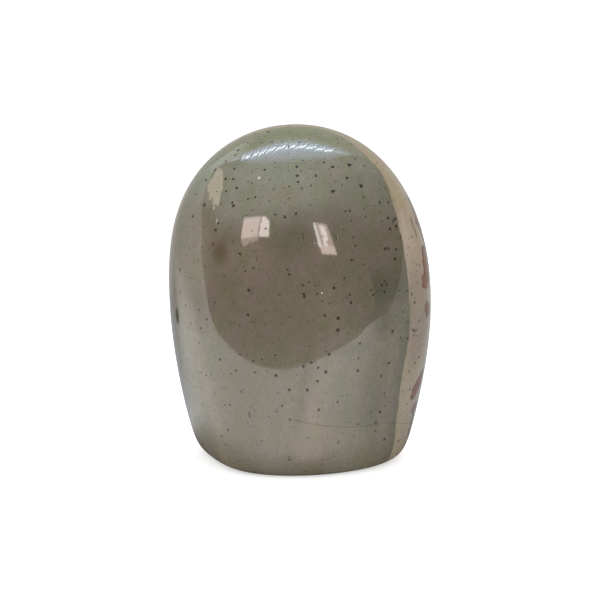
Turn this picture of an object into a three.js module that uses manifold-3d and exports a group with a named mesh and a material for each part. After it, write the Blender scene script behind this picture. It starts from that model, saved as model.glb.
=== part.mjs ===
// A polished jasper freeform: one upright, dome-topped stone that stands on a sawn flat.
// Millimetres, +Z up. The broad face looks along -Y, and the origin is under the middle of the stone.
import * as THREE from "three";
import { mergeVertices } from "three/addons/utils/BufferGeometryUtils.js";
import Module from "manifold-3d";

// Driving dimensions: the finished stone, overall
const WIDTH = 85.5;
const DEPTH = 59;
const HEIGHT = 110;

// The ground form. It is brought to the overall sizes at the end, so its own lengths are the
// millimetres of a stone of that height before the last easing of its top and sides.
const HEART = 49.5; // height of the point that every reach below is measured from
const REACH = { right: 35.9, left: 34.1, front: 30, back: 28, top: HEIGHT - HEART };
const CLOSES_BELOW = { right: 84, left: 172 }; // how far under the heart each flank would meet, unsawn
const GROUND_FLANK = { azimuth: 199, elevation: -14.6, distance: 36.05 }; // flatter area, lower left
const LEAN = { x: 0.5, y: 2.5 }; // how far the top sits off the heart

// Roundness
const PLAN_POWER = 2.2; // 2 is an ellipse, more is squarer
const FOOT_ROUNDS_BY = 0.37; // how much less square the plan gets straight below the heart
const PROFILE_POWER = 2;
const FLANK_BLEND = 10; // higher is a tighter turn into the flatter area
const RIM_BLEND = 17.5; // the same at the sawn base
const EASE = 0.12; // takes the creases out of the form where it crosses the axes
const SAW_CUT = 0.5; // what the saw takes off the underside

// Slow waves of hand grinding: share of the radius, waves along each axis, and phase
const WAVES = [
  { depth: 0.006, along: new THREE.Vector3(2.1, 1.2, 2.6), phase: 0.6 },
  { depth: 0.004, along: new THREE.Vector3(-3.2, 2.4, 1.9), phase: 2.1 },
  { depth: 0.0025, along: new THREE.Vector3(1.7, -3.6, 4.4), phase: 4 },
];

const SPHERE_DETAIL = 19; // an icosahedron's edges, each in this many parts and one more
const SAME_POINT = 1e-5;

const wasm = await Module();
wasm.setup();

// The value that runs from low at share -1 to high at share 1.
function between(low, high, share) {
  return (low + high) / 2 + ((high - low) / 2) * share;
}

function blend(a, b, power) {
  return (a ** power + b ** power) ** (1 / power);
}

function eased(component) {
  return Math.hypot(component, EASE);
}

function outwardNormal({ azimuth, elevation }) {
  const polar = THREE.MathUtils.degToRad(90 - elevation);
  const around = THREE.MathUtils.degToRad(azimuth);
  return new THREE.Vector3(
    Math.sin(polar) * Math.cos(around),
    Math.sin(polar) * Math.sin(around),
    Math.cos(polar),
  );
}

const FLANK_NORMAL = outwardNormal(GROUND_FLANK);

// How much the grinding waves lengthen the radius in one direction.
function grinding(direction) {
  return WAVES.reduce(
    (sum, { depth, along, phase }) => sum + depth * Math.sin(along.dot(direction) + phase),
    1,
  );
}

// Distance from the heart to the skin in one direction. Each surface is held as the inverse of
// its distance, so that blending two of them keeps the nearer one and rounds their meeting.
function radius(direction) {
  const width = between(REACH.left, REACH.right, direction.x);
  const depth = between(REACH.front, REACH.back, direction.y);
  const below = between(CLOSES_BELOW.left, CLOSES_BELOW.right, direction.x);
  const rise = between(below, REACH.top, direction.z);
  const planPower = PLAN_POWER - FOOT_ROUNDS_BY * Math.max(0, -direction.z) ** 2;
  const plan = blend(eased(direction.x) / width, eased(direction.y) / depth, planPower);
  const lump = blend(plan, eased(direction.z) / rise, PROFILE_POWER);
  const flank = Math.max(0, direction.dot(FLANK_NORMAL)) / GROUND_FLANK.distance;
  const underside = Math.max(0, -direction.z) / (HEART + SAW_CUT);
  const skin = blend(lump, flank, FLANK_BLEND) / grinding(direction);
  return 1 / blend(skin, underside, RIM_BLEND);
}

// The skin's point in one direction, leaned over and raised to the height it stands at.
function skinPoint(direction) {
  const point = direction.clone().multiplyScalar(radius(direction));
  point.z += HEART;
  const share = Math.max(0, point.z) / HEIGHT;
  point.x += LEAN.x * share * share;
  point.y += LEAN.y * share * share;
  return point;
}

// A geometry with nothing but shared positions, as a closed mesh needs.
function welded(geometry) {
  geometry.deleteAttribute("normal");
  geometry.deleteAttribute("uv");
  return mergeVertices(geometry, SAME_POINT);
}

function roughStone() {
  const ball = welded(new THREE.IcosahedronGeometry(1, SPHERE_DETAIL));
  const position = ball.getAttribute("position");
  for (let i = 0; i < position.count; i++) {
    const direction = new THREE.Vector3().fromBufferAttribute(position, i).normalize();
    position.setXYZ(i, ...skinPoint(direction));
  }
  return ball;
}

// Everything under the base plane, which the saw takes away.
function offcut() {
  const slab = new THREE.BoxGeometry(2 * WIDTH, 2 * WIDTH, HEIGHT);
  return welded(slab.translate(0, 0, -HEIGHT / 2));
}

function solid(geometry) {
  const mesh = new wasm.Mesh({
    numProp: 3,
    vertProperties: geometry.getAttribute("position").array,
    triVerts: new Uint32Array(geometry.index.array),
  });
  return new wasm.Manifold(mesh);
}

function sawnStone() {
  const { vertProperties, triVerts } = solid(roughStone()).subtract(solid(offcut())).getMesh();
  const geometry = new THREE.BufferGeometry();
  geometry.setAttribute("position", new THREE.BufferAttribute(vertProperties, 3));
  geometry.setIndex(new THREE.BufferAttribute(triVerts, 1));
  return geometry;
}

// Centred over the origin, standing on z = 0, at the overall sizes.
function finishedStone() {
  const geometry = sawnStone();
  geometry.computeBoundingBox();
  const middle = geometry.boundingBox.getCenter(new THREE.Vector3());
  const size = geometry.boundingBox.getSize(new THREE.Vector3());
  geometry.translate(-middle.x, -middle.y, 0);
  geometry.scale(WIDTH / size.x, DEPTH / size.y, HEIGHT / size.z);
  geometry.computeVertexNormals();
  return geometry;
}

function polishedJasper() {
  return new THREE.MeshStandardMaterial({ color: 0x8a8573, roughness: 0.06, metalness: 0 });
}

const stone = new THREE.Mesh(finishedStone(), polishedJasper());
stone.name = "jasper_stone";

const part = new THREE.Group();
part.add(stone);

export default part;
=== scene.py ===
"""The looks of a polished jasper freeform: the stone's fine surface, its colours, and a small studio."""

import math
from functools import reduce
from itertools import chain
from typing import NamedTuple

import bmesh
import bpy
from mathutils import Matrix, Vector


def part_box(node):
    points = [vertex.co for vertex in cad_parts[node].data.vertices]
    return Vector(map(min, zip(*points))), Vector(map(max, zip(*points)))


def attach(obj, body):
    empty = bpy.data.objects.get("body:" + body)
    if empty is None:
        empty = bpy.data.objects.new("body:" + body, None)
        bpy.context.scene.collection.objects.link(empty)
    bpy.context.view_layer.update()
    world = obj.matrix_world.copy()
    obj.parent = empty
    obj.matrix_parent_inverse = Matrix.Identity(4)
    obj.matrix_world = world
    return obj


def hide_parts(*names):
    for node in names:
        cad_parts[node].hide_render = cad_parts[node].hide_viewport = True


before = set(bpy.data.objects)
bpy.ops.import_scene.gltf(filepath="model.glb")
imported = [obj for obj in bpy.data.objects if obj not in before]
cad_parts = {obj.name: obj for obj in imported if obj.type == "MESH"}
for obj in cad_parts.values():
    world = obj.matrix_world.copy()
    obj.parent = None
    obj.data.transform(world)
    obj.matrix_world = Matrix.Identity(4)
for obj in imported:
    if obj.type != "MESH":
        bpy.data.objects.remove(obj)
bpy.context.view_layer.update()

MM = 0.001
NODE = "jasper_stone"
PIECE = "polished_stone"

# The ground form, in millimetres before the stone is brought to the size of its CAD solid.
NOMINAL_HEIGHT = 110
HEART = 49.5  # height of the point that every reach below is measured from
REACH_RIGHT, REACH_LEFT, REACH_FRONT, REACH_BACK = 35.9, 34.1, 30, 28
CLOSES_BELOW_RIGHT, CLOSES_BELOW_LEFT = 84, 172  # how far under the heart each flank would meet, unsawn
FLANK_AZIMUTH, FLANK_ELEVATION, FLANK_DISTANCE = 199, -14.6, 36.05  # a flatter area, low on the left
LEAN_RIGHT, LEAN_BACK = 0.5, 2.5  # how far the top sits off the heart
PLAN_POWER, PROFILE_POWER = 2.2, 2  # 2 is an ellipse, more is squarer
FLANK_BLEND, RIM_BLEND = 10, 17.5  # higher is a tighter turn into the flatter area, and into the base
FOOT_ROUNDS_BY = 0.37  # how much less square the plan gets straight below the heart
EASE = 0.12  # takes the creases out of the form where it crosses the axes
SAW_CUT = 0.5  # what the saw takes off the underside
# Slow waves of hand grinding: share of the radius, waves along each axis, and phase
WAVES = (
    (0.006, Vector((2.1, 1.2, 2.6)), 0.6),
    (0.004, Vector((-3.2, 2.4, 1.9)), 2.1),
    (0.0025, Vector((1.7, -3.6, 4.4)), 4),
)
BALL_SUBDIVISIONS = 7
SAME_HEIGHT = 1e-6
SHORTEST_EDGE = 1e-5

# A natural slit in the left flank, in millimetres
PIT_CENTRE = Vector((-39.4, -10.2, 50))
PIT_OUT = Vector((-0.905, -0.42, -0.05)).normalized()
PIT_HALF_WIDTH, PIT_HALF_LENGTH, PIT_DEPTH = 1.3, 3.2, 1.3
PIT_ROUNDING = 1.5  # 1 leaves a sharp rim, more eases it
PIT_SEEN_FROM_HEART = 0.16  # the angle around the pit, in radians, that gets more faces
PIT_CUTS = 4


# ---------------------------------------------------------------- the stone's surface


def between(low, high, share):
    """The value that runs from low at share -1 to high at share 1."""
    return (low + high) / 2 + (high - low) / 2 * share


def blend(a, b, power):
    """Keeps the larger of two values, and rounds their meeting."""
    return (a**power + b**power) ** (1 / power)


def facing(azimuth, elevation):
    """The direction at these angles, in degrees."""
    a, e = math.radians(azimuth), math.radians(elevation)
    return Vector((math.cos(a) * math.cos(e), math.sin(a) * math.cos(e), math.sin(e)))


FLANK = facing(FLANK_AZIMUTH, FLANK_ELEVATION)


def grinding(direction):
    """How much the slow waves of hand grinding lengthen the radius."""
    return 1 + sum(depth * math.sin(along.dot(direction) + phase) for depth, along, phase in WAVES)


def radius(d):
    """Distance from the stone's heart to its skin in the direction d."""
    width = between(REACH_LEFT, REACH_RIGHT, d.x)
    depth = between(REACH_FRONT, REACH_BACK, d.y)
    rise = between(between(CLOSES_BELOW_LEFT, CLOSES_BELOW_RIGHT, d.x), NOMINAL_HEIGHT - HEART, d.z)
    plan_power = PLAN_POWER - FOOT_ROUNDS_BY * max(0, -d.z) ** 2
    plan = blend(math.hypot(d.x, EASE) / width, math.hypot(d.y, EASE) / depth, plan_power)
    lump = blend(plan, math.hypot(d.z, EASE) / rise, PROFILE_POWER)
    flank = max(0, d.dot(FLANK)) / FLANK_DISTANCE
    underside = max(0, -d.z) / (HEART + SAW_CUT)
    skin = blend(lump, flank, FLANK_BLEND) / grinding(d)
    return 1 / blend(skin, underside, RIM_BLEND)


def skin_point(d):
    """The skin's point in the direction d, leaned over and raised to the height it stands at."""
    point = d * radius(d)
    point.z += HEART
    share = max(0, point.z) / NOMINAL_HEIGHT
    return point + Vector((LEAN_RIGHT, LEAN_BACK, 0)) * share * share


def saw_base(bm):
    """Cuts the underside along z = 0 and leaves it flat, with a crisp rim."""
    geom = bm.verts[:] + bm.edges[:] + bm.faces[:]
    bmesh.ops.bisect_plane(bm, geom=geom, dist=SAME_HEIGHT, plane_co=(0, 0, 0), plane_no=(0, 0, 1))
    for v in bm.verts:
        v.co.z = max(0, v.co.z)
    bmesh.ops.dissolve_degenerate(bm, dist=SHORTEST_EDGE, edges=bm.edges)
    for edge in bm.edges:
        on_base = [all(v.co.z < SAME_HEIGHT for v in face.verts) for face in edge.link_faces]
        edge.smooth = len(set(on_base)) == 1


def bring_to_size(bm, low, high):
    """Centres the stone over its CAD solid and gives it exactly that solid's box, in metres."""
    lows = Vector(min(v.co[i] for v in bm.verts) for i in range(3))
    highs = Vector(max(v.co[i] for v in bm.verts) for i in range(3))
    for v in bm.verts:
        v.co = Vector(
            low[i] + (v.co[i] - lows[i]) * (high[i] - low[i]) / (highs[i] - lows[i]) for i in range(3)
        )


def refine_pit(bm):
    """Gives the ball more faces where the pit goes."""
    way = (PIT_CENTRE - Vector((0, 0, HEART))).normalized()
    near = {v for v in bm.verts if v.co.normalized().angle(way) < PIT_SEEN_FROM_HEART}
    edges = [edge for edge in bm.edges if near.issuperset(edge.verts)]
    bmesh.ops.subdivide_edges(bm, edges=edges, cuts=PIT_CUTS, use_grid_fill=True)


def sink_pit(bm):
    """Sinks a slit with rounded ends into the left flank."""
    across = PIT_OUT.cross(Vector((0, 0, 1))).normalized()
    along = across.cross(PIT_OUT)
    for v in bm.verts:
        offset = v.co / MM - PIT_CENTRE
        if offset.length < 2 * PIT_HALF_LENGTH:
            reach = math.hypot(offset.dot(across) / PIT_HALF_WIDTH, offset.dot(along) / PIT_HALF_LENGTH)
            v.co -= PIT_OUT * PIT_DEPTH * MM * max(0, 1 - reach * reach) ** PIT_ROUNDING


def make_stone():
    """The stone's fine mesh, in the place of its CAD solid."""
    bm = bmesh.new()
    bmesh.ops.create_icosphere(bm, subdivisions=BALL_SUBDIVISIONS, radius=1)
    refine_pit(bm)
    for v in bm.verts:
        v.co = skin_point(v.co.normalized())
    saw_base(bm)
    bring_to_size(bm, *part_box(NODE))
    sink_pit(bm)
    for face in bm.faces:
        face.smooth = True
    mesh = bpy.data.meshes.new(PIECE)
    bm.to_mesh(mesh)
    bm.free()
    stone = bpy.data.objects.new(PIECE, mesh)
    bpy.context.scene.collection.objects.link(stone)
    return stone


# ---------------------------------------------------------------- materials

# The sockets of a Mix node that hold its colours
MIX_FROM, MIX_TO, MIXED = 6, 7, 2
CLOUD_GAIN = 4  # spreads a noise, which keeps near a half, over -1 to 1
STREAK_CORE = 0.2  # the share of its half width over which a band is full


class Value:
    """An output socket of a recipe: arithmetic on it adds Math nodes."""

    def __init__(self, recipe, socket):
        self.recipe = recipe
        self.socket = socket

    def math(self, operation, *operands):
        return self.recipe.node("ShaderNodeMath", dict(enumerate(operands)), operation=operation)

    def __add__(self, other):
        return self.math("ADD", self, other)

    def __radd__(self, other):
        return self.math("ADD", other, self)

    def __sub__(self, other):
        return self.math("SUBTRACT", self, other)

    def __rsub__(self, other):
        return self.math("SUBTRACT", other, self)

    def __mul__(self, other):
        return self.math("MULTIPLY", self, other)

    def __rmul__(self, other):
        return self.math("MULTIPLY", other, self)

    def __pow__(self, other):
        return self.math("POWER", self, other)

    def size(self):
        return self.math("ABSOLUTE", self)

    def above(self, other):
        return self.math("GREATER_THAN", self, other)

    def beside(self, output):
        """Another output of the same node."""
        return Value(self.recipe, self.socket.node.outputs[output])

    def at_least(self, other):
        return self.math("MAXIMUM", self, other)

    def at_most(self, other):
        return self.math("MINIMUM", self, other)


class Recipe:
    """The nodes of one material or world."""

    def __init__(self, owner):
        owner.use_nodes = True
        self.owner = owner
        self.tree = owner.node_tree
        self.tree.nodes.clear()

    def node(self, kind, sockets, output=0, **settings):
        """Adds a node: its settings first, then the values or links of its sockets."""
        node = self.tree.nodes.new(kind)
        for name, setting in settings.items():
            setattr(node, name, setting)
        for key, value in sockets.items():
            if isinstance(value, Value):
                self.tree.links.new(value.socket, node.inputs[key])
            else:
                node.inputs[key].default_value = value
        return None if output is None else Value(self, node.outputs[output])

    def place(self):
        """Where a point lies on the piece, in millimetres."""
        metres = self.node("ShaderNodeTexCoord", {}, output="Object")
        return self.node("ShaderNodeVectorMath", {0: metres, "Scale": 1 / MM}, operation="SCALE")

    def parts(self, vector):
        """The x, y and z of a vector."""
        return [self.node("ShaderNodeSeparateXYZ", {0: vector}, output=i) for i in range(3)]

    def along(self, vector, direction):
        """How far a vector reaches in one direction."""
        return self.node(
            "ShaderNodeVectorMath", {0: vector, 1: direction}, output=1, operation="DOT_PRODUCT"
        )

    def stretched(self, vector, factors):
        return self.node("ShaderNodeVectorMath", {0: vector, 1: factors}, operation="MULTIPLY")

    def moved(self, vector, by):
        return self.node("ShaderNodeVectorMath", {0: vector, 1: by}, operation="ADD")

    def scaled(self, vector, factor):
        """A vector or a colour, times a number."""
        return self.node("ShaderNodeVectorMath", {0: vector, "Scale": factor}, operation="SCALE")

    def distance(self, vector, centre):
        return self.node("ShaderNodeVectorMath", {0: vector, 1: centre}, output=1, operation="DISTANCE")

    def out_from(self, vector, centre, radii, turn=(0, 0, 0)):
        """How far a point lies from a centre: 1 is the rim of an ellipsoid of these radii."""
        local = self.node(
            "ShaderNodeMapping",
            {"Vector": vector, "Location": centre, "Rotation": turn, "Scale": radii},
            vector_type="TEXTURE",
        )
        return self.node("ShaderNodeVectorMath", {0: local}, output=1, operation="LENGTH")

    def cloud(self, vector, size, seed, detail=2):
        """Soft random clouds of about this size, mostly between -1 and 1."""
        noise = self.node(
            "ShaderNodeTexNoise",
            {"Vector": vector, "W": seed, "Scale": 1 / size, "Detail": detail},
            noise_dimensions="4D",
        )
        return noise * CLOUD_GAIN - CLOUD_GAIN / 2

    def share(self, value, start, end, kind="SMOOTHSTEP"):
        """0 where a value is at start or before it, 1 from end on."""
        return self.node("ShaderNodeMapRange", {0: value, 1: start, 2: end}, interpolation_type=kind)

    def mix(self, share, a, b, blend_type="MIX"):
        """The colour that runs from a to b as share runs from 0 to 1."""
        a, b = ((*c, 1) if isinstance(c, tuple) else c for c in (a, b))
        return self.node(
            "ShaderNodeMix",
            {0: share, MIX_FROM: a, MIX_TO: b},
            output=MIXED,
            data_type="RGBA",
            blend_type=blend_type,
        )

    def finish(self, shader, output="ShaderNodeOutputMaterial"):
        self.node(output, {"Surface": shader}, output=None)
        return self.owner


def paint(red, green, blue):
    """A colour given as it looks on a screen, by the sRGB curve, as the share of light it throws back."""
    return tuple(((c / 255 + 0.055) / 1.055) ** 2.4 for c in (red, green, blue))


SAGE = paint(139, 138, 122)
PALE_SAGE = paint(147, 149, 136)
DOME_GREEN = paint(136, 138, 113)
TAUPE = paint(116, 107, 91)
SLATE = paint(90, 87, 73)
MOSS = paint(120, 114, 98)
PALE_MOSS = paint(130, 126, 111)
DEEP_MOSS = paint(104, 103, 88)
BEIGE = paint(146, 135, 120)
RUSSET = paint(106, 93, 77)
UMBER = paint(96, 82, 60)
WARM_TAUPE = paint(128, 117, 100)
MAUVE = paint(110, 107, 99)
ROSY_TAUPE = paint(113, 100, 98)
STRAW = paint(134, 126, 107)
PALE_CREAM = paint(166, 152, 123)
CREAM = paint(164, 148, 129)
TAN = paint(152, 135, 116)
PINK_CREAM = paint(178, 164, 146)
FOOT_CREAM = paint(150, 142, 121)
OCHRE = paint(150, 130, 94)
RUST = paint(118, 74, 52)
RUST_RIM = paint(74, 50, 38)
PLUM = paint(112, 90, 84)
BONE = paint(178, 170, 149)
SHELL = paint(216, 208, 186)
GRAIN_BLACK = paint(38, 33, 20)
GRAIN_OLIVE = paint(66, 62, 45)
OLIVE = paint(72, 66, 46)
SAWN = paint(150, 143, 128)


# ---------------------------------------------------------------- the jasper

# Where a value below is a range of two numbers, a share grows from 0 at the first to 1 at the second.

# The sage stone's edge against the cream rind behind it, as the y at which it runs
RIGHT_EDGE, RIGHT_EDGE_LEVEL = -17.8, 38  # where it comes furthest forward, and at what height
RIGHT_EDGE_TOP, RIGHT_EDGE_TOP_BACK, RIGHT_EDGE_TOP_POWER = 105.5, 14.6, 3.1  # how it goes back above
RIGHT_EDGE_FOOT, RIGHT_EDGE_FOOT_BACK, RIGHT_EDGE_FOOT_POWER = 4, 5.7, 1.55  # and below
SHOULDER_BACK, SHOULDER_BEGINS, SHOULDER_ENDS = 0.9, (86, 94), (102, 95)  # further back on the shoulder
LEFT_EDGE = 2
LEFT_EDGE_FORWARD, LEFT_EDGE_BEGINS, LEFT_EDGE_ENDS = -6.2, (46, 78), (100, 84)  # further forward here
LEFT_TOP_FORWARD, LEFT_TOP_BEGINS = -3, (97, 104)  # and again at the top
LEFT_TO_RIGHT = (-18, 14)  # the x over which the left edge turns into the right one
EDGE_WANDER, EDGE_WANDER_SIZE = 0.35, 7
EDGE_SOFTNESS = 0.15


class Patch(NamedTuple):
    """A soft patch of another colour, made of ellipsoids."""

    tint: tuple
    strength: float
    ovals: tuple  # the centre and the half sizes of each ellipsoid
    fades: tuple = (1.2, 0.3)  # how far out it sets in and is full, 1 being an ellipsoid's rim

    def share(self, r, place, measures):
        """How much of the colour shows at a place."""
        return r.share(least(r.out_from(place, *oval) for oval in self.ovals), *self.fades)


class Zone(NamedTuple):
    """Another colour along an upright band, or where some measures of a place are in range."""

    tint: tuple
    strength: float
    ranges: tuple  # each measure's name, the value where the colour sets in, and where it is full
    bands: tuple = ()  # each band's measure, its middle and its half width

    def share(self, r, place, measures):
        """How much of the colour shows at a place."""
        bands = (streak(r, measures[name], middle, half) for name, middle, half in self.bands)
        ranges = (r.share(measures[name], start, full) for name, start, full in self.ranges)
        return reduce(Value.__mul__, chain(bands, ranges))


# The front's colours, in the order in which they are laid on; among those of the foot, one pale patch low on
# the front is painted light. Of their measures, across and height are x and z with a soft wandering, reach
# is how deep a point lies in the sage, and sage_stone() makes the others on the way.
ACROSS_WANDER, ACROSS_WANDER_SIZE = 1.2, 11
HEIGHT_WANDER, HEIGHT_WANDER_SIZE = 4, 16
SAGE_HEIGHTS = (77, 93)  # taupe below, sage above
DOME_COLOURS = (
    Zone(DOME_GREEN, 1, (("z", 98, 106),)),
    Zone(SLATE, 0.34, (("across", 0, 30), ("z", 104, 84))),  # a darker right side
    Zone(SLATE, 0.2, (("across", 4, 18), ("z", 100, 94), ("z", 84, 92))),  # and right shoulder
    Patch(WARM_TAUPE, 0.6, (((-17, -25, 73), (8, 14, 9)), ((9.5, -28, 56), (5, 14, 10)))),
)
MIDDLE_COLOURS = (
    Zone(SLATE, 0.94, (("past_wedge", -0.7, 0.7), ("z", 75, 59), ("z", 37, 46))),  # a wedge on the right
    Patch(ROSY_TAUPE, 0.3, (((6, -23, 83), (16, 12, 7)),)),
    Patch(SLATE, 0.3, (((-2.4, -26, 77), (6, 12, 8)),)),
    Patch(PALE_SAGE, 0.7, (((-8, -16, 98), (17, 14, 8)),), (1.1, 0.3)),
)
LOWER_COLOURS = (
    Zone(MOSS, 1, (("above_moss", 53, 38),)),
    Zone(BEIGE, 0.35, (("banding", -0.6, 1.2), ("height", 60, 25))),
)
UPRIGHT_COLOURS = (
    Zone(RUSSET, 0.22, (("z", 52, 24),), (("leaning", -5.4, 1.8),)),
    Zone(PALE_MOSS, 0.7, (("height", 56, 26),), (("across", 15, 9),)),
    Zone(PALE_MOSS, 0.5, (("height", 40, 12),), (("across", -8, 7),)),
    Zone(PALE_MOSS, 0.75, (("across", -20, -30), ("height", 57, 43))),
    Zone(STRAW, 0.8, (("across", -26, -32), ("z", 91, 79), ("z", 56, 66))),
)
FOOT_COLOURS_AND_LIGHT = (
    Zone(BEIGE, 0.45, (("height", 66, 54),), (("leaning_left", -23, 3),)),
    Patch(SLATE, 0.5, (((24.5, -24, 51), (8, 12, 6.5)),), (1.2, 0.2)),
    Patch(SLATE, 0.35, (((16, -27, 43), (8, 10, 3.2)),), (1.2, 0.2)),
    # painted light: the first ellipsoid paints the front paler low down, above the foot, for the light and
    # reflection of the bright table in front; the second is a paler patch high on the front
    Patch(BEIGE, 0.43, (((6, -26, 12.5), (17, 12, 9)), ((-4.5, -21.5, 91), (5, 10, 3.5))), (1.2, 0.4)),
)
LAST_COLOURS = (
    Zone(MAUVE, 0.42, (("square", 1.15, 0.8), ("z", 32, 27))),
    Zone(DEEP_MOSS, 0.75, (("reach", 3.6, 0.6), ("z", 61, 49))),  # along the edge
    Patch(UMBER, 0.75, (((-24.8, -23, 73), (3, 6, 4.4)),), (1.25, 0.1)),
)
BANDING_STRETCH, BANDING_SIZE = (1, 1, 0.12), 5.5  # random upright bands
RIGHT_LEAN, LEFT_LEAN = 0.2, 0.22  # how far bands lean for each millimetre up
PALE_BAND = (1.2, 6)  # a pale band that leans to the right: its middle and half width
PALE_UPPER, PALE_UPPER_BEGINS = 0.5, (56, 30)
PALE_LOWER, PALE_LOWER_BEGINS = 0.45, (28, 18)
PALE_ENDS = (4, 9)
# The slate wedge's left edge: its x, the heights between which it is upright, and its slants below and above
WEDGE_EDGE, WEDGE_HEIGHTS, WEDGE_SLANTS = 23.4, (52, 61), (0.8, 0.3)
MOSS_RISE = 0.35  # how much higher the moss reaches for each millimetre to the right
SQUARE_MIDDLE, SQUARE_HALF = (24, 24), (5.5, 7)  # a square patch, across and up
SQUARE_RAGGED, SQUARE_RAGGED_SIZE = 0.15, 2.5

# The rind's colours, in the same way
RIND_STRETCH, RIND_BAND_SIZE, RIND_BANDS = (1, 1.6, 0.5), 9, (-0.9, 0.5)
RIND_COLOURS = (
    Zone(PALE_CREAM, 0.75, (("z", 80, 90),)),
    Patch(PINK_CREAM, 0.6, (((31, -15, 77), (5, 6, 9)),), (1.2, 0.4)),
    Zone(FOOT_CREAM, 0.5, (("z", 44, 30),)),
)
RIND_PATCHES = (
    Patch(OCHRE, 0.5, (((32.4, -9.4, 85.7), (1.6, 2.4, 1.4)),), (1.3, 0.4)),
    Patch(TAUPE, 0.45, (((37, -14, 50), (8, 8, 19)),), (1.2, 0.5)),
)
BEHIND = (-9, -15)  # the depth under the sage at which the veins and islands of the back set in
VEIN_SIZE, VEIN_WIDTH, VEIN_STRENGTH = 22, (0.16, 0.02), 0.7
ISLAND_SIZE, ISLAND_LEVEL = 13, 0.35  # a higher level makes fewer
ISLAND_TINT_SIZE, ISLAND_TINTS = 10, (-0.5, 0.5)  # from rust to plum
ISLAND_RIM, ISLAND_EDGE = (0.16, 0.02), (-0.02, 0.05)
HALO_OUT, HALO_WIDTH, HALO_STRENGTH = 0.12, (0.09, 0.02), 0.6

# Patches of rust in the rind: centre, half sizes, and lean towards the face
RUST_PATCHES = (
    ((38, -1.5, 78), (8, 3.2, 11), 0),
    ((37.2, -4, 80.2), (3, 2.2, 1.3), 0.5),
    ((40.4, -5.8, 66.4), (4, 3.8, 6.4), -0.25),
    ((40.2, -9.2, 61.2), (3, 3, 2.4), 0.1),
    ((40.6, -8.5, 52), (3, 2.5, 2.5), -0.4),
    ((38.2, -8.6, 26.8), (5, 2.3, 5.8), -0.6),
    ((37.2, -6.4, 18.4), (4, 2.4, 2.3), -0.3),
    ((36.6, -5.6, 12.6), (4, 1.6, 4.6), 0.1),
)
RUST_RAGGED, RUST_RAGGED_SIZE = 0.25, 2.4
RUST_DARK_RIM, RUST_EDGE, RUST_STRENGTH = (0.7, 0.95), (1.05, 0.93), 0.92

# Small olive marks in the upper rind: radius, and the centres of the marks of that size
OLIVE_MARKS = {
    0.5: (
        (35.5, -8.2, 80.9), (35.8, -8.5, 79.8), (36.2, -8.8, 78.8), (36.7, -8.7, 77.7),
        (36.9, -8.6, 76.7), (37.1, -8.7, 75.7), (35.3, -11.2, 75.6), (35.5, -16.6, 58.4),
    ),
}

# The larger dark grains of the face, in the same way
DARK_GRAINS = {
    0.6: (
        (19.2, -16, 92.8), (15.5, -12.9, 99), (11.9, -28.4, 49.4),
    ),
    0.5: (
        (-19.6, -7.3, 103), (-10.1, -2.9, 108.2), (-29.8, -9.5, 93.8), (-4.6, -24.3, 84.4),
        (-18.6, -25.4, 72.9), (-15.9, -27.6, 61.9), (10.6, -28.1, 62.7), (12, -28.4, 53.2),
        (9.1, -28.6, 41.7), (8.2, -28.4, 35.9), (18.3, -26.2, 35.7), (2.3, -28.6, 30.1),
        (6, -27.8, 23.4), (30.3, -15.4, 80), (29.9, -19.2, 70.1), (-30, -14.9, 86.6),
    ),
    0.42: (
        (36, -16.4, 46.6), (37, -15.2, 46.3), (38.3, -11.9, 36.6), (36.9, -13.5, 35.1),
        (25.8, -22.4, 33.1), (28.2, -21.6, 37.1), (29.2, -22.1, 47.5), (27.2, -17.1, 10.7),
        (24.2, -20.6, 17.2), (-31.3, -20.9, 48.3), (-14.6, -28.1, 39.4), (-25, -20.4, 12.7),
        (-22.8, -22.7, 15.4), (14.8, -16.2, 95.4), (10.4, -15.1, 98.7), (5, -17.9, 96.3),
        (-0.9, -16.4, 98.9), (-0.6, -19.4, 94.6), (-10.9, -16.3, 97.9), (-8.8, -8.5, 105.7),
        (-0.3, -9.3, 105.8), (-16.1, -27.9, 54.1), (-5.6, -28.4, 24.9), (27.7, -16.3, 82.7),
        (26.5, -23, 60.4), (30.1, -14.6, 82.2), (28.3, -17.4, 79.4), (26.6, -20.5, 73.6),
        (30.3, -18.1, 73), (26.6, -22.6, 63.7), (25.7, -23.2, 62.6), (16, -27.3, 57.9),
        (27.8, -13.7, 87.3), (-26.8, -9, 96.9), (-20.6, -13, 97.8), (-23.3, -14.1, 94.8),
        (-19.7, -17.6, 92.4), (-26.3, -20.5, 79.6), (11.4, -25.1, 78), (16.2, -25.6, 71),
    ),
    0.33: (
        (37.3, -14.8, 44.3), (35, -15.3, 32.7), (35.4, -13.1, 26.2), (34.7, -12.5, 21.2),
        (24.2, -20, 14.4), (27.1, -20.6, 26.9), (-31.7, -20.6, 54.1), (-29.7, -20.8, 33),
        (-21.7, -25.8, 34.8), (-20, -26.5, 35.9), (-14, -28, 35.7), (-23.7, -23.7, 24),
        (-22.1, -24.5, 24.1), (-31.2, -16.4, 21.9), (-23.6, -20.8, 10), (-26.6, -24, 57.2),
        (-14.2, -27.2, 68.8), (15.6, -27.2, 60.3), (29.3, -15.7, 81.4), (27.9, -19.7, 73.4),
        (-23, -16.8, 91.3), (-13.8, -20.8, 90.1), (-16.1, -20.5, 89.5), (-35, -5.5, 89.3),
        (-32.9, -9.7, 89.2), (-37.9, -7.7, 81.3), (10.6, -19.7, 91.9), (14.2, -21.7, 85.8),
        (15.6, -21.3, 85.7), (17.3, -24.3, 75.3), (22.2, -25, 61.4), (20.3, -10.4, 98.4),
        (17.3, -10.1, 100.6), (19.9, -17.7, 89.6), (32.6, -19.7, 53.2), (34.2, -18.3, 49.8),
    ),
}

# Pale dots on the face, in the same way
SHELL_DOTS = {
    0.45: ((-12.7, -17.7, 95.6),),
    0.2: ((6.9, -28.7, 61.2),),
}

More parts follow.
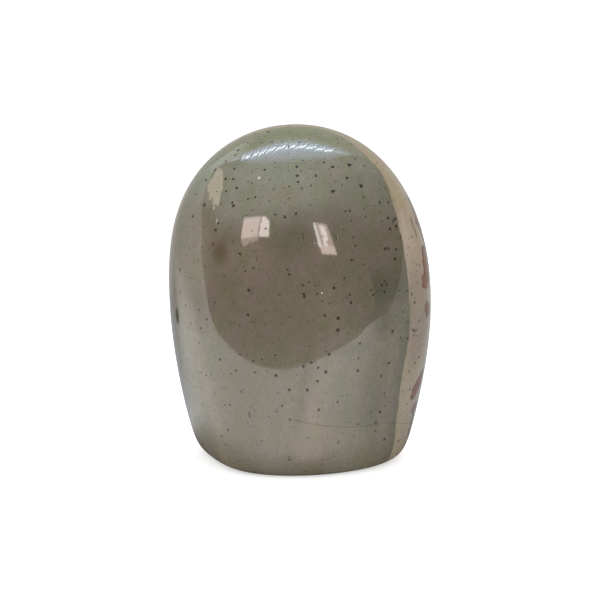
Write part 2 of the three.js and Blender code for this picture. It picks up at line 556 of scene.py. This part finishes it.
# How uneven the marks and the random grains are, and how crisp, in millimetres outside their rims
GRAIN_WOBBLE, GRAIN_WOBBLE_SCALE = 0.7, 1.1
GRAIN_EDGE = (0.17, -0.14)
NO_GRAIN = 2  # takes more off a radius than any grain has
MARK_UNEVEN, MARK_UNEVEN_SIZE = 0.16, 0.8
MARK_EDGE, OLIVE_EDGE = (0.14, -0.1), (0.3, -0.1)
# Random grains: spacing, smallest and largest radius, and seed
COARSE_GRAINS = (2.2, (0.18, 0.48), 40)
FINE_GRAINS = (1.3, (0.1, 0.28), 90)
# The share of them that shows: everywhere, more or less of it in clusters, and more on top
GRAIN_PLENTY, GRAIN_CLUSTERS, GRAIN_CLUSTER_SIZE = 0.55, 0.3, 12
GRAINS_ON_TOP, GRAIN_TOP_BEGINS = 0.4, (95, 102)
COARSE_IN_RIND, COARSE_IN_SAGE = 0.35, 0.9
FINE_MORE = 0.1
GRAIN_STRENGTH, FINE_STRENGTH, OLIVE_STRENGTH = 0.92, 0.6, 0.55

# A patch of bone colour on the left shoulder: ellipsoids with their turn, cut off straight above and on
# the right, torn at its foot, and with two drips below it
BONE_OVALS = (
    ((-26.5, -14, 93.2), (2.6, 9, 4.9), (0, 0.25, 0)),
    ((-26.2, -16, 89.2), (1.3, 9, 2.1)),
)
BONE_DRIPS = (
    ((-26.9, -17.4, 86.2), (0.35, 1, 0.6)),
    ((-25.9, -19.8, 82.3), (0.3, 1, 0.8)),
)
BONE_TOP, BONE_TOP_X, BONE_TOP_SLOPE, BONE_TOP_CRISP = 92.6, -29, 1.6, 0.3
BONE_RIGHT, BONE_RIGHT_CRISP = -24.2, 1.2
BONE_TORN, BONE_TORN_STRETCH, BONE_TORN_SIZE, BONE_TORN_BEGINS = 0.4, (1, 1, 0.25), 0.8, (93, 88)
BONE_UNEVEN, BONE_UNEVEN_SIZE = 0.1, 1.6
BONE_EDGE, BONE_STRENGTH = (1.06, 0.94), 0.95

# A healed crack across the lower face: its crest, and from there to the left and to the right how far it
# runs, how much it rises in that, and how it bends
CRACK_X, CRACK_HEIGHT = 22, 16.6
CRACK_LEFT = (26.7, 4.6, 2)
CRACK_RIGHT = (13.5, -3.2, 2.8)
CRACK_WAVER, CRACK_WAVER_SIZE = 0.15, 2
CRACK_WIDTH, CRACK_START, CRACK_FRONT = (0.3, 0.08), (-6, 0), (0, -4)
CRACK_STRENGTH = 0.25
# A short dark dash beside it
DASH = ((-15.9, -27, 21.5), (0.4, 4, 1.5), (0, -0.15, 0))
DASH_EDGE, DASH_STRENGTH = (1.2, 0.4), 0.7

# What the slow drifts of colour are multiplied by
OLIVE_TINT = (0.925, 0.965, 0.865)
PINK_TINT = (1.075, 1.01, 1.075)
DRIFT_STRETCH, DRIFT_SIZE, DRIFT_RANGE = (1, 1, 0.7), 4.5, (-0.8, 0.8)
DRIFT_IN_RIND = 0.45  # its share there, where it is 1 in the sage stone
MOTTLE, MOTTLE_SIZE = 0.065, 2
FINE_MOTTLE, FINE_MOTTLE_SIZE = 0.08, 0.7

PIT_SHADE, PIT_SHADE_EDGE, PIT_SHADE_STRENGTH = (2, 1.6, 3.2), (1.05, 0.8), 0.8
BASE_HEIGHTS, BASE_STRENGTH = (0.06, 0.02), 0.6  # the sawn base is matt up to here
SAW_MARKS = {"Scale": 0.35, "Distortion": 1.5, "Detail": 2, "Detail Scale": 0.3}
POLISH, POLISH_CLOUDS, POLISH_CLOUD_SIZE = 0.054, 0.02, 5  # roughness
MATTER, GRAINS_MATTER = 0.5, 0.3  # how much rougher the base, the pit and the grains are
SWELL, SWELL_SIZE, GRAIN_DIP, CRACK_DIP, SAW_RIDGE = 0.01, 9, 0.02, 0.03, 0.02  # relief in millimetres
INDEX_OF_REFRACTION = 1.54


def least(values):
    """The smallest of several values. They are made one by one, so that few are kept at a time."""
    return reduce(Value.at_most, values)


def laid_on(r, place, measures, colour, layers):
    """Lays patches and zones over a colour, one after another."""
    for layer in layers:
        share = layer.share(r, place, measures)
        colour = r.mix(share if layer.strength == 1 else share * layer.strength, colour, layer.tint)
    return colour


def sage_reach(r, place, x, y, z):
    """How far a point lies inside the sage stone, in millimetres: below 0 it is in the rind."""
    above = (z - RIGHT_EDGE_LEVEL).at_least(0) * (1 / (RIGHT_EDGE_TOP - RIGHT_EDGE_LEVEL))
    below = (RIGHT_EDGE_LEVEL - z).at_least(0) * (1 / (RIGHT_EDGE_LEVEL - RIGHT_EDGE_FOOT))
    right = RIGHT_EDGE + RIGHT_EDGE_TOP_BACK * above**RIGHT_EDGE_TOP_POWER
    right = right + RIGHT_EDGE_FOOT_BACK * below**RIGHT_EDGE_FOOT_POWER
    left = LEFT_EDGE + LEFT_EDGE_FORWARD * r.share(z, *LEFT_EDGE_BEGINS) * r.share(z, *LEFT_EDGE_ENDS)
    left = left + LEFT_TOP_FORWARD * r.share(z, *LEFT_TOP_BEGINS)
    right = right + SHOULDER_BACK * r.share(z, *SHOULDER_BEGINS) * r.share(z, *SHOULDER_ENDS)
    edge = left + (right - left) * r.share(x, *LEFT_TO_RIGHT)
    return edge - y + EDGE_WANDER * r.cloud(place, EDGE_WANDER_SIZE, seed=3)


def streak(r, measure, middle, half_width):
    """1 along a soft band, 0 outside it."""
    return r.share((measure - middle).size(), half_width, half_width * STREAK_CORE)


def sage_stone(r, place, x, z, reach):
    """The grey-green front: sage at the dome, taupe in the middle, and upright bands towards the foot, with
    a pale patch of painted light low on the front.
    """
    height = z + HEIGHT_WANDER * r.cloud(place, HEIGHT_WANDER_SIZE, seed=1)
    across = x + ACROSS_WANDER * r.cloud(place, ACROSS_WANDER_SIZE, seed=2)
    measures = {"z": z, "height": height, "across": across, "reach": reach}
    colour = r.mix(r.share(height, *SAGE_HEIGHTS), TAUPE, SAGE)
    colour = laid_on(r, place, measures, colour, DOME_COLOURS)

    slant_below, slant_above = WEDGE_SLANTS
    wedge = WEDGE_EDGE - slant_above * (z - WEDGE_HEIGHTS[1]).at_least(0)
    measures["past_wedge"] = x - (wedge - slant_below * (WEDGE_HEIGHTS[0] - z).at_least(0))
    colour = laid_on(r, place, measures, colour, MIDDLE_COLOURS)

    measures["above_moss"] = height - MOSS_RISE * across.at_least(0)
    measures["banding"] = r.cloud(r.stretched(place, BANDING_STRETCH), BANDING_SIZE, seed=4, detail=3)
    colour = laid_on(r, place, measures, colour, LOWER_COLOURS)

    measures["leaning"] = across - RIGHT_LEAN * z
    pale = PALE_UPPER * r.share(z, *PALE_UPPER_BEGINS) + PALE_LOWER * r.share(z, *PALE_LOWER_BEGINS)
    pale = pale * r.share(z, *PALE_ENDS)
    colour = r.mix(streak(r, measures["leaning"], *PALE_BAND) * pale, colour, BEIGE)
    colour = laid_on(r, place, measures, colour, UPRIGHT_COLOURS)

    measures["leaning_left"] = across + LEFT_LEAN * z
    colour = laid_on(r, place, measures, colour, FOOT_COLOURS_AND_LIGHT)

    off_middle = [
        ((measure - middle) * (1 / half)).size()
        for measure, middle, half in zip((x, z), SQUARE_MIDDLE, SQUARE_HALF)
    ]
    ragged = SQUARE_RAGGED * r.cloud(place, SQUARE_RAGGED_SIZE, seed=5)
    measures["square"] = off_middle[0].at_least(off_middle[1]) + ragged
    return laid_on(r, place, measures, colour, LAST_COLOURS)


def rust_patches(r, place, colour):
    """Crisp patches of rust, each with a darker rim."""
    ragged = RUST_RAGGED * r.cloud(place, RUST_RAGGED_SIZE, seed=11)
    nearest = least(r.out_from(place, centre, radii, (lean, 0, 0)) for centre, radii, lean in RUST_PATCHES)
    nearest = nearest + ragged
    rust = r.mix(r.share(nearest, *RUST_DARK_RIM), RUST, RUST_RIM)
    return r.mix(r.share(nearest, *RUST_EDGE) * RUST_STRENGTH, colour, rust)


def cream_rind(r, place, z, reach):
    """The back: cream and tan in slow bands, with islands of rust and plum that have crisp edges."""
    measures = {"z": z}
    swirl = r.cloud(place, VEIN_SIZE, seed=6, detail=3)
    bands = r.cloud(r.stretched(place, RIND_STRETCH), RIND_BAND_SIZE, seed=7, detail=3)
    colour = r.mix(r.share(bands, *RIND_BANDS), TAN, CREAM)
    colour = laid_on(r, place, measures, colour, RIND_COLOURS)
    behind = r.share(reach, *BEHIND)
    colour = r.mix(r.share(swirl.size(), *VEIN_WIDTH) * behind * VEIN_STRENGTH, colour, OCHRE)
    colour = laid_on(r, place, measures, colour, RIND_PATCHES)

    islands = r.cloud(place, ISLAND_SIZE, seed=9, detail=4) - ISLAND_LEVEL
    tint = r.share(r.cloud(place, ISLAND_TINT_SIZE, seed=10), *ISLAND_TINTS)
    isle = r.mix(tint, RUST, PLUM)
    isle = r.mix(r.share(islands, *ISLAND_RIM), isle, RUST_RIM)
    halo = r.share((islands + HALO_OUT).size(), *HALO_WIDTH) * behind * HALO_STRENGTH
    colour = r.mix(halo, colour, OCHRE)
    colour = r.mix(r.share(islands, *ISLAND_EDGE) * behind, colour, isle)
    return rust_patches(r, place, colour)


def scattered_grains(r, place, spacing, radii, seed, plenty):
    """Uneven grains at random all through the stone, 1 inside them. Plenty is the share that shows."""
    smallest, largest = radii
    wobble = r.node("ShaderNodeTexNoise", {"Vector": place, "Scale": GRAIN_WOBBLE_SCALE}, output=1)
    wobbled = r.moved(place, r.scaled(wobble, GRAIN_WOBBLE))
    near = r.node(
        "ShaderNodeTexVoronoi", {"Vector": r.moved(wobbled, (seed, seed, seed)), "Scale": 1 / spacing}
    )
    size, chance, _ = r.parts(near.beside("Color"))
    radius = smallest + (largest - smallest) * size**2 - NO_GRAIN * chance.above(plenty)
    return r.share(near * spacing - radius, *GRAIN_EDGE)


def marks(r, place, sizes, edge=MARK_EDGE):
    """Small round marks, 1 inside them. Sizes gives the centres of the marks of each radius."""
    nearest = least(
        least(r.distance(place, centre) for centre in centres) - radius
        for radius, centres in sizes.items()
    )
    return r.share(nearest + MARK_UNEVEN * r.cloud(place, MARK_UNEVEN_SIZE, seed=12), *edge)


def bone_patch(r, place, x, z):
    """The pale patch on the left shoulder, 1 inside it."""
    bone = least(r.out_from(place, *oval) for oval in BONE_OVALS)
    torn = BONE_TORN * r.cloud(r.stretched(place, BONE_TORN_STRETCH), BONE_TORN_SIZE, seed=14)
    torn = torn * r.share(z, *BONE_TORN_BEGINS)
    above = z - BONE_TOP - BONE_TOP_SLOPE * (x - BONE_TOP_X)
    bone = bone.at_least(1 + BONE_TOP_CRISP * above)
    bone = bone.at_least(1 + BONE_RIGHT_CRISP * (x - BONE_RIGHT))
    bone = bone + torn + BONE_UNEVEN * r.cloud(place, BONE_UNEVEN_SIZE, seed=15)
    for drip in BONE_DRIPS:
        bone = bone.at_most(r.out_from(place, *drip))
    return r.share(bone, *BONE_EDGE)


def hairline(r, place, x, y, z):
    """The healed crack, 1 on it."""
    length, rise, power = CRACK_LEFT
    left = rise * ((CRACK_X - x).at_least(0) * (1 / length)) ** power
    length, rise, power = CRACK_RIGHT
    right = rise * ((x - CRACK_X).at_least(0) * (1 / length)) ** power
    height = CRACK_HEIGHT + left + right + CRACK_WAVER * r.cloud(place, CRACK_WAVER_SIZE, seed=13)
    line = r.share((z - height).size(), *CRACK_WIDTH)
    return line * r.share(x, *CRACK_START) * r.share(y, *CRACK_FRONT)


def jasper():
    """The stone's material: colours from the coarse to the fine, then the sawn base, polish and relief."""
    r = Recipe(bpy.data.materials.new("polished_jasper"))
    place = r.place()
    x, y, z = r.parts(place)
    reach = sage_reach(r, place, x, y, z)
    in_sage = r.share(reach, -EDGE_SOFTNESS, EDGE_SOFTNESS)
    colour = r.mix(in_sage, cream_rind(r, place, z, reach), sage_stone(r, place, x, z, reach))
    drift = r.share(r.cloud(r.stretched(place, DRIFT_STRETCH), DRIFT_SIZE, seed=21, detail=4), *DRIFT_RANGE)
    amount = DRIFT_IN_RIND + (1 - DRIFT_IN_RIND) * in_sage
    colour = r.mix(amount, colour, r.mix(drift, OLIVE_TINT, PINK_TINT), blend_type="MULTIPLY")
    colour = r.mix(bone_patch(r, place, x, z) * BONE_STRENGTH, colour, BONE)

    plenty = GRAIN_PLENTY + GRAIN_CLUSTERS * r.cloud(place, GRAIN_CLUSTER_SIZE, seed=16)
    plenty = plenty + GRAINS_ON_TOP * r.share(z, *GRAIN_TOP_BEGINS)
    coarse_plenty = plenty * (COARSE_IN_RIND + (COARSE_IN_SAGE - COARSE_IN_RIND) * in_sage)
    grains = scattered_grains(r, place, *COARSE_GRAINS, coarse_plenty)
    fines = scattered_grains(r, place, *FINE_GRAINS, plenty + FINE_MORE)
    grains = grains.at_least(marks(r, place, DARK_GRAINS))
    colour = r.mix(fines * FINE_STRENGTH, colour, GRAIN_OLIVE)
    olive = marks(r, place, OLIVE_MARKS, edge=OLIVE_EDGE)
    colour = r.mix(olive * OLIVE_STRENGTH, colour, GRAIN_OLIVE)
    colour = r.mix(grains * GRAIN_STRENGTH, colour, GRAIN_BLACK)
    colour = r.mix(marks(r, place, SHELL_DOTS), colour, SHELL)

    crack = hairline(r, place, x, y, z)
    dash = r.share(r.out_from(place, *DASH), *DASH_EDGE)
    colour = r.mix((crack * CRACK_STRENGTH).at_least(dash * DASH_STRENGTH), colour, GRAIN_BLACK)
    pit = r.share(r.out_from(place, PIT_CENTRE, PIT_SHADE), *PIT_SHADE_EDGE)
    colour = r.mix(pit * PIT_SHADE_STRENGTH, colour, OLIVE)
    mottle = 1 + FINE_MOTTLE * r.cloud(place, FINE_MOTTLE_SIZE, seed=17)
    mottle = mottle + MOTTLE * r.cloud(place, MOTTLE_SIZE, seed=18, detail=4)
    colour = r.scaled(colour, mottle)

    base = r.share(z, *BASE_HEIGHTS)
    colour = r.mix(base * BASE_STRENGTH, colour, SAWN)
    saw_marks = r.node("ShaderNodeTexWave", {"Vector": place, **SAW_MARKS}, output=1)
    polish = POLISH + POLISH_CLOUDS * r.cloud(place, POLISH_CLOUD_SIZE, seed=19, detail=4).at_least(0)
    roughness = polish + MATTER * base + MATTER * pit + GRAINS_MATTER * grains
    relief = SWELL * r.cloud(place, SWELL_SIZE, seed=20, detail=0) - GRAIN_DIP * grains
    relief = relief - CRACK_DIP * crack + SAW_RIDGE * saw_marks * base
    bump = r.node("ShaderNodeBump", {"Height": relief, "Distance": MM}, output="Normal")
    shader = r.node(
        "ShaderNodeBsdfPrincipled",
        {"Base Color": colour, "Roughness": roughness, "Normal": bump, "IOR": INDEX_OF_REFRACTION},
    )
    return r.finish(shader)


# ---------------------------------------------------------------- the studio

TENT_HALF, TENT_TOP, TENT_BACK = 200, 310, 200  # a white cloth tent, open towards the camera
TENT_MOUTH, TENT_DEEP = -80, 100  # its side walls are brightest at the mouth, and dim deeper in
WALL_DIMS_BY = 0.6  # below 1, most of that comes near the mouth
WALL_TOP_BEGINS = (170, 270)
WALL_SWEEP = 58  # the cloth curves up from the table over this height

# The front edges of the tent's left wall, its right wall and its table
LEFT_RIM = (
    (-125, 0), (-92, 20), (-82, 39), (-68, 72), (-52, 114),
    (-13, 154), (38, 190), (95, 238), (102, 259), (93, 310),
)
RIGHT_RIM = (
    (-200, 0), (-151, 15), (-118, 24), (-90, 43), (-56, 65), (-17, 96),
    (48, 154), (76, 182), (122, 212), (150, 255), (149, 310),
)
TABLE_RIM = (
    (-200, -126), (-150, -129), (-90, -131), (-24, -133), (5, -137), (42, -137),
    (62, -143.5), (79, -146), (101, -152), (140, -173), (165, -188), (200, -200),
)
TABLE_SINKS = 0.5  # how far the mirrored table lies under the stone

FOOT_SHADE = ((0, 3, 0), (28.6, 20.4, 1000))  # the stone's own shade on the table: middle, half sizes
FOOT_SHADE_ENDS = (1.25, 2.4)
FOOT_DIM = (0.1, 0.09, 0.08)
BRIGHT_SIDE = (-0.57, -0.82, 0)  # the table is brighter towards the front left
BRIGHT_BEGINS = (-20, 70)
TABLE_DIM, TABLE_BRIGHT = (0.42, 0.46, 0.52), (1.95, 1.95, 1.95)
ROOM_GLOW = (0.1, 0.095, 0.09)

CEILING_LEFT, CEILING_MIDDLE = (1.5, 1.65, 1.65), (0.5, 0.5, 0.5)
CEILING_LEFT_BEGINS = (-90, -170)
# How brightly the cloth glows: at the mouth, deep in, and at the top
LEFT_CLOTH = (1.55, 1.55, 1.58), (0.44, 0.52, 0.54), CEILING_LEFT
RIGHT_CLOTH = (1.1, 1.1, 1.1), (0.42, 0.4, 0.36), (0.42, 0.4, 0.36)
BACK_CLOTH = (0.52, 0.54, 0.54)

# The line that the lamp strip and the ceiling's front edge follow: straight, then bowed back
LINE_MIDDLE, LINE_STRAIGHT, LINE_BOW = -20, 55, 0.0048
LINE_STEP = 20
LAMP_CHIPS, LAMP_START, LAMP_STEP = 21, -137.8, 10.8
LAMP_WIDTH = 4.2
LAMP_STAGGER = 3  # every other chip sits this much further back, the rest as much to the front
# The slanting bars of each chip: glow, foot and head from the chip's place, and how far under the top
LAMP_BARS = {
    "tail": ((4.6, 6, 9.5), (-8, -17), (9, 27), 1),
    "chip": ((19, 20, 22), (-5, -8), (5.5, 8), 2),
}
# The strip runs on without chips: where, half its width, its glow, and how far under the top
STRIP_END_XS, STRIP_END_HALF, STRIP_END_GLOW, STRIP_END_DROP = (86, 98, 110, 122, 134), 1.6, (7, 7, 6), 1
# The strip's haze behind it and in front: how far it reaches, how fast it fades, and where it runs out
HAZE_BEHIND = (88, 1.7, 230)
HAZE_IN_FRONT = (80, 0.7, 168)
HAZE_MIDDLE = -10
HAZE_GLOW = (3.2, 3.9, 6)
HAZE_SPAN = slice(3, -2)  # the points of the line that the haze in front lies along

# The windows in the wall that the stone faces: how far each stands out from it, its glow, and its corners
WINDOW_WALL = -400
WINDOW_GLOWS = {
    "far_window": (8.3, 6.5, 6),
    "far_window_top": (5.5, 4.7, 4.6),
    "window_sill": (3.6, 2.9, 2.7),
    "side_window": (11, 9.4, 9),
    "dim_window": (5, 3.9, 3.4),
    "bright_window": (12, 11, 10.6),
}
WINDOWS = {
    "window_left": (0, "far_window", ((-286, 330), (-158, 324), (-165, 225), (-278, 222))),
    "window_left_top": (0, "far_window_top", ((-288, 344), (-157, 332), (-158, 324), (-286, 330))),
    "window_left_sill": (
        0,
        "window_sill",
        (
            (-278, 222), (-165, 225), (-162, 200), (-176, 208),
            (-196, 196), (-206, 209), (-226, 192), (-258, 190),
        ),
    ),
    "window_left_side": (
        0,
        "side_window",
        ((-151, 329), (-131, 325), (-106, 296), (-102, 224), (-159, 224)),
    ),
    "window_right": (0, "dim_window", ((77, 290), (141, 284), (179, 158), (105, 158))),
    "window_right_foot": (1, "far_window", ((101, 192), (170, 190), (179, 158), (105, 158))),
    "window_right_edge": (1, "bright_window", ((79, 275), (85, 290), (108, 185), (95, 185))),
    "window_right_pane": (1, "bright_window", ((103, 276), (116, 274), (124, 232), (112, 232))),
    "window_right_middle": (1, "bright_window", ((119, 273), (128, 272), (142, 212), (124, 212))),
    "window_right_low": (1, "bright_window", ((113, 226), (121, 226), (138, 190), (119, 190))),
}

FLOOR_HALF = 4000
FLOOR_WHITE, FLOOR_ROUGHNESS = (0.9, 0.9, 0.9, 1), 0.7
FLOOR_GLOW, FLOOR_GLOW_SEEN = (0.1, 0.1, 0.1), (0.5, 0.5, 0.5)
LIGHT_BELOW, LIGHT_MORE_ABOVE, LIGHT_GROWS = 0.55, 0.6, (-0.2, 1)
WHITE = (1, 1, 1, 1)


def glow(name, colour):
    """An evenly bright surface."""
    r = Recipe(bpy.data.materials.new(name))
    return r.finish(r.node("ShaderNodeEmission", {"Color": (*colour, 1)}))


def table_light(r, place):
    """How bright the lit table looks at a place."""
    return r.mix(r.share(r.along(place, BRIGHT_SIDE), *BRIGHT_BEGINS), TABLE_DIM, TABLE_BRIGHT)


def wall_glow(name, near, far, top):
    """White cloth, brightest at the tent's mouth, with the table's light where it curves into it."""
    r = Recipe(bpy.data.materials.new(name))
    place = r.place()
    _, y, z = r.parts(place)
    cloth = r.mix(r.share(y, TENT_MOUTH, TENT_DEEP, kind="LINEAR") ** WALL_DIMS_BY, near, far)
    cloth = r.mix(r.share(z, *WALL_TOP_BEGINS), cloth, top)
    low = r.share(z, WALL_SWEEP, 0)
    return r.finish(r.node("ShaderNodeEmission", {"Color": r.mix(low, cloth, table_light(r, place))}))


def table_glow():
    """The lit table as the polish mirrors it, dim in the stone's own shade."""
    r = Recipe(bpy.data.materials.new("mirrored_table"))
    place = r.place()
    lit = r.share(r.out_from(place, *FOOT_SHADE), *FOOT_SHADE_ENDS)
    shade = r.mix(lit, FOOT_DIM, table_light(r, place))
    return r.finish(r.node("ShaderNodeEmission", {"Color": shade}))


def strip_line(x):
    """How far back the lamp strip lies at one x, given as a number."""
    return LINE_BOW * max(0, abs(x - LINE_MIDDLE) - LINE_STRAIGHT) ** 2


def haze_glow(name, reach, fade, half_width, around, around_left):
    """The strip's bluish haze, fading away from it into what lies around."""
    r = Recipe(bpy.data.materials.new(name))
    x, y, _ = r.parts(r.place())
    bow = LINE_BOW * ((x - LINE_MIDDLE).size() - LINE_STRAIGHT).at_least(0) ** 2
    narrowing = 1 - ((x - HAZE_MIDDLE) * (1 / half_width)) ** 2
    near = r.share((y - bow).size() - reach * narrowing, 0, -reach, kind="LINEAR") ** fade
    surroundings = r.mix(r.share(x, *CEILING_LEFT_BEGINS), around, around_left)
    return r.finish(r.node("ShaderNodeEmission", {"Color": r.mix(near, surroundings, HAZE_GLOW)}))


def pale_floor():
    """Matt and nearly white. To the camera it is brighter still, so that it meets the white background."""
    r = Recipe(bpy.data.materials.new("pale_table"))
    seen = r.node("ShaderNodeLightPath", {}, output="Is Camera Ray")
    shader = r.node(
        "ShaderNodeBsdfPrincipled",
        {
            "Base Color": FLOOR_WHITE,
            "Roughness": FLOOR_ROUGHNESS,
            "Specular IOR Level": 0,
            "Emission Color": r.mix(seen, FLOOR_GLOW, FLOOR_GLOW_SEEN),
            "Emission Strength": 1,
        },
    )
    return r.finish(shader)


def flat_panel(name, corners, material):
    """One flat panel through the given corners, in millimetres."""
    bm = bmesh.new()
    bm.faces.new([bm.verts.new(Vector(corner) * MM) for corner in corners])
    mesh = bpy.data.meshes.new(name)
    bm.to_mesh(mesh)
    bm.free()
    mesh.materials.append(material)
    panel = bpy.data.objects.new(name, mesh)
    bpy.context.scene.collection.objects.link(panel)
    return panel


def mirrored_panel(name, corners, material):
    """A panel that only shows as a reflection in the polish."""
    material.cycles.emission_sampling = "NONE"
    panel = flat_panel(name, corners, material)
    panel.visible_camera = False
    panel.visible_diffuse = False
    panel.visible_shadow = False


def make_walls():
    """The tent's sides and back, and the table in it."""
    half, top, back = TENT_HALF, TENT_TOP, TENT_BACK
    left_cloth = wall_glow("left_cloth", *LEFT_CLOTH)
    right_cloth = wall_glow("right_cloth", *RIGHT_CLOTH)
    for name, x, rim, cloth in (
        ("tent_left", -half, LEFT_RIM, left_cloth),
        ("tent_right", half, RIGHT_RIM, right_cloth),
    ):
        outline = [*rim, (back, top), (back, 0)]
        mirrored_panel(name, [(x, y, z) for y, z in outline], cloth)
    outline = [(-half, 0), (half, 0), (half, top), (-half, top)]
    back_cloth = glow("back_cloth", BACK_CLOTH)
    mirrored_panel("tent_back", [(x, back, z) for x, z in outline], back_cloth)
    outline = [*TABLE_RIM, (half, back), (-half, back)]
    mirrored_panel("tent_table", [(x, y, -TABLE_SINKS) for x, y in outline], table_glow())


def make_ceiling():
    """The tent's top behind the lamp strip, and the strip's haze in front of it."""
    half, top, back = TENT_HALF, TENT_TOP, TENT_BACK
    line = [(x, strip_line(x)) for x in range(-half, half + 1, LINE_STEP)]
    ceiling = haze_glow("ceiling_cloth", *HAZE_BEHIND, CEILING_MIDDLE, CEILING_LEFT)
    outline = [*line, (half, back), (-half, back)]
    mirrored_panel("tent_ceiling", [(x, y, top) for x, y in outline], ceiling)
    haze = haze_glow("lamp_haze", *HAZE_IN_FRONT, ROOM_GLOW, ROOM_GLOW)
    line = line[HAZE_SPAN]
    reach = HAZE_IN_FRONT[0]
    outline = [*((x, y - reach) for x, y in line), *reversed(line)]
    mirrored_panel("lamp_haze", [(x, y, top) for x, y in outline], haze)


def make_lamps():
    """A strip of lamp chips, each a short white bar with a dimmer blue tail, all at a slant."""
    materials = {name: glow(f"lamp_{name}s", colour) for name, (colour, *_) in LAMP_BARS.items()}
    for i in range(LAMP_CHIPS):
        x = LAMP_START + i * LAMP_STEP
        y = strip_line(x) + LAMP_STAGGER * (-1) ** i
        for name, (_, foot, head, drop) in LAMP_BARS.items():
            outline = [
                (x + foot[0], y + foot[1]),
                (x + foot[0] + LAMP_WIDTH, y + foot[1]),
                (x + head[0] + LAMP_WIDTH, y + head[1]),
                (x + head[0], y + head[1]),
            ]
            corners = [(px, py, TENT_TOP - drop) for px, py in outline]
            mirrored_panel(f"lamp_{name}_{i}", corners, materials[name])


def make_strip_end():
    """A thin bright line where the lamp strip runs on without chips."""
    line = [(x, strip_line(x)) for x in STRIP_END_XS]
    half = STRIP_END_HALF
    outline = [*((x, y - half) for x, y in line), *((x, y + half) for x, y in reversed(line))]
    corners = [(x, y, TENT_TOP - STRIP_END_DROP) for x, y in outline]
    mirrored_panel("lamp_strip_end", corners, glow("strip_end", STRIP_END_GLOW))


def make_windows():
    materials = {name: glow(name, colour) for name, colour in WINDOW_GLOWS.items()}
    for name, (in_front, material, outline) in WINDOWS.items():
        corners = [(x, WINDOW_WALL + in_front, z) for x, z in outline]
        mirrored_panel(name, corners, materials[material])


def make_floor():
    reach = FLOOR_HALF
    outline = [(-reach, -reach), (reach, -reach), (reach, reach), (-reach, reach)]
    floor = flat_panel("floor", [(x, y, 0) for x, y in outline], pale_floor())
    floor.visible_glossy = False


def make_world():
    """Soft light from all round, more from above. The polish mirrors a dim room, the camera sees white."""
    world = bpy.data.worlds.new("soft_room")
    bpy.context.scene.world = world
    r = Recipe(world)
    _, _, z = r.parts(r.node("ShaderNodeTexCoord", {}))
    strength = LIGHT_BELOW + LIGHT_MORE_ABOVE * r.share(z, *LIGHT_GROWS, kind="LINEAR")
    light = r.node("ShaderNodeBackground", {"Color": WHITE, "Strength": strength})
    dim = r.node("ShaderNodeBackground", {"Color": (*ROOM_GLOW, 1)})
    white = r.node("ShaderNodeBackground", {"Color": WHITE})
    mirrored = r.node("ShaderNodeLightPath", {}, output="Is Glossy Ray")
    seen = r.node("ShaderNodeLightPath", {}, output="Is Camera Ray")
    room = r.node("ShaderNodeMixShader", {0: mirrored, 1: light, 2: dim})
    r.finish(r.node("ShaderNodeMixShader", {0: seen, 1: room, 2: white}), output="ShaderNodeOutputWorld")


# ---------------------------------------------------------------- the camera

CAMERA_AZIMUTH, CAMERA_ELEVATION, CAMERA_DISTANCE = -90, 12, 620
CAMERA_AIM = Vector((0.06, 0, 52.9))
PICTURE_WIDTH = 600 / 3.068  # how many millimetres the picture spans at the aim
SENSOR_WIDTH = 36
CLIP_START, CLIP_END = 0.01, 100  # in metres


def make_camera():
    back = facing(CAMERA_AZIMUTH, CAMERA_ELEVATION)
    data = bpy.data.cameras.new("camera")
    data.sensor_width = SENSOR_WIDTH
    data.lens = SENSOR_WIDTH * CAMERA_DISTANCE / PICTURE_WIDTH
    data.clip_start = CLIP_START
    data.clip_end = CLIP_END
    camera = bpy.data.objects.new("camera", data)
    camera.location = (CAMERA_AIM + back * CAMERA_DISTANCE) * MM
    camera.rotation_euler = (-back).to_track_quat("-Z", "Y").to_euler()
    bpy.context.scene.collection.objects.link(camera)
    bpy.context.scene.camera = camera


# ---------------------------------------------------------------- the scene

stone = make_stone()
stone.data.materials.append(jasper())
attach(stone, "root")
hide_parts(NODE)

make_walls()
make_ceiling()
make_lamps()
make_strip_end()
make_windows()
make_floor()
make_world()
make_camera()
bpy.context.scene.view_settings.view_transform = "Standard"
